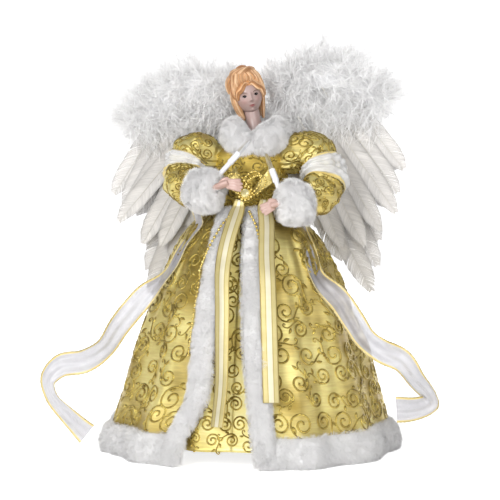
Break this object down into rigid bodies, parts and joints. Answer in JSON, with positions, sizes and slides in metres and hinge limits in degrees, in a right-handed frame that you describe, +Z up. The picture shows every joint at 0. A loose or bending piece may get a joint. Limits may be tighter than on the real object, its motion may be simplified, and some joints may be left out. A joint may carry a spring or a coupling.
{
  "type": "angel tree topper",
  "caption": "Standing angel tree topper: porcelain head and hands, gold brocade coat with white fur trim, wired arms with candle lamps, feather wings, and a hollow cone that drops over a tree top.",
  "frame": {"origin": "on the axis of the base cone, on the plane that the fur hem stands on, where the tree top enters", "axes": "+Z up along the cone's axis, -Y towards the viewer in front, +X to the angel's left"},
  "size_m": [0.2955, 0.2157, 0.2981],
  "materials": {
    "paperboard": "matt",
    "stuffing": "matt",
    "armature_wire": "drawn wire",
    "brocade": "metallic gold weave with raised scrolls",
    "fur": "short plush pile",
    "gold_beads": "plated gold",
    "satin_ribbon": "satin with gold stripes",
    "rhinestone": "faceted",
    "porcelain": "bisque with painted features",
    "lamp_plastic": "moulded",
    "lamp_glass": "clear",
    "organza": "sheer with gold wire edges",
    "feather": "natural vane and down"
  },
  "bodies": {
    "body": {"base_cone": "paperboard", "torso_tube": "paperboard", "torso_padding": "stuffing", "shoulder_wire": "armature_wire", "bodice": "brocade", "underskirt": "brocade", "coat_skirt": "brocade", "hem_trim": "fur", "left_front_trim": "fur", "right_front_trim": "fur", "left_bead_string": "gold_beads", "right_bead_string": "gold_beads", "left_ribbon_tail": "satin_ribbon", "right_ribbon_tail": "satin_ribbon", "brooch_setting": "gold_beads", "brooch_stone": "rhinestone", "left_bow_loop": "satin_ribbon", "right_bow_loop": "satin_ribbon", "head": "porcelain", "collar": "fur", "left_stole_tail": "organza", "right_stole_tail": "organza", "stole_back": "organza", "wing_pad": "stuffing"},
    "left_arm": {"left_sleeve": "brocade", "left_arm_wire": "armature_wire", "left_candle_socket": "lamp_plastic", "left_candle_bulb": "lamp_glass", "left_hand": "porcelain", "left_cuff": "fur", "left_stole_wrap": "organza"},
    "right_arm": {"right_sleeve": "brocade", "right_arm_wire": "armature_wire", "right_candle_socket": "lamp_plastic", "right_candle_bulb": "lamp_glass", "right_hand": "porcelain", "right_cuff": "fur", "right_stole_wrap": "organza"},
    "left_wing": {"left_wing_wire": "armature_wire", "left_wing_card": "paperboard", "left_feather_1": "feather", "left_feather_2": "feather", "left_feather_3": "feather", "left_feather_4": "feather", "left_feather_5": "feather", "left_feather_6": "feather", "left_feather_7": "feather", "left_marabou": "feather"},
    "right_wing": {"right_wing_wire": "armature_wire", "right_wing_card": "paperboard", "right_feather_1": "feather", "right_feather_2": "feather", "right_feather_3": "feather", "right_feather_4": "feather", "right_feather_5": "feather", "right_feather_6": "feather", "right_feather_7": "feather", "right_marabou": "feather"}
  },
  "joints": [
    {"name": "left_shoulder", "type": "hinge", "parent": "body", "child": "left_arm", "pos_m": [0.0263, 0, 0.213], "axis": [-1, 0, 0], "range_deg": [0, 30]},
    {"name": "right_shoulder", "type": "hinge", "parent": "body", "child": "right_arm", "pos_m": [-0.0263, 0, 0.213], "axis": [-1, 0, 0], "range_deg": [0, 30]},
    {"name": "left_wing_root", "type": "hinge", "parent": "body", "child": "left_wing", "pos_m": [0.014, 0.03, 0.218], "axis": [0, 0, 1], "range_deg": [-5, 40]},
    {"name": "right_wing_root", "type": "hinge", "parent": "body", "child": "right_wing", "pos_m": [-0.014, 0.03, 0.218], "axis": [0, 0, -1], "range_deg": [-5, 40]}
  ]
}
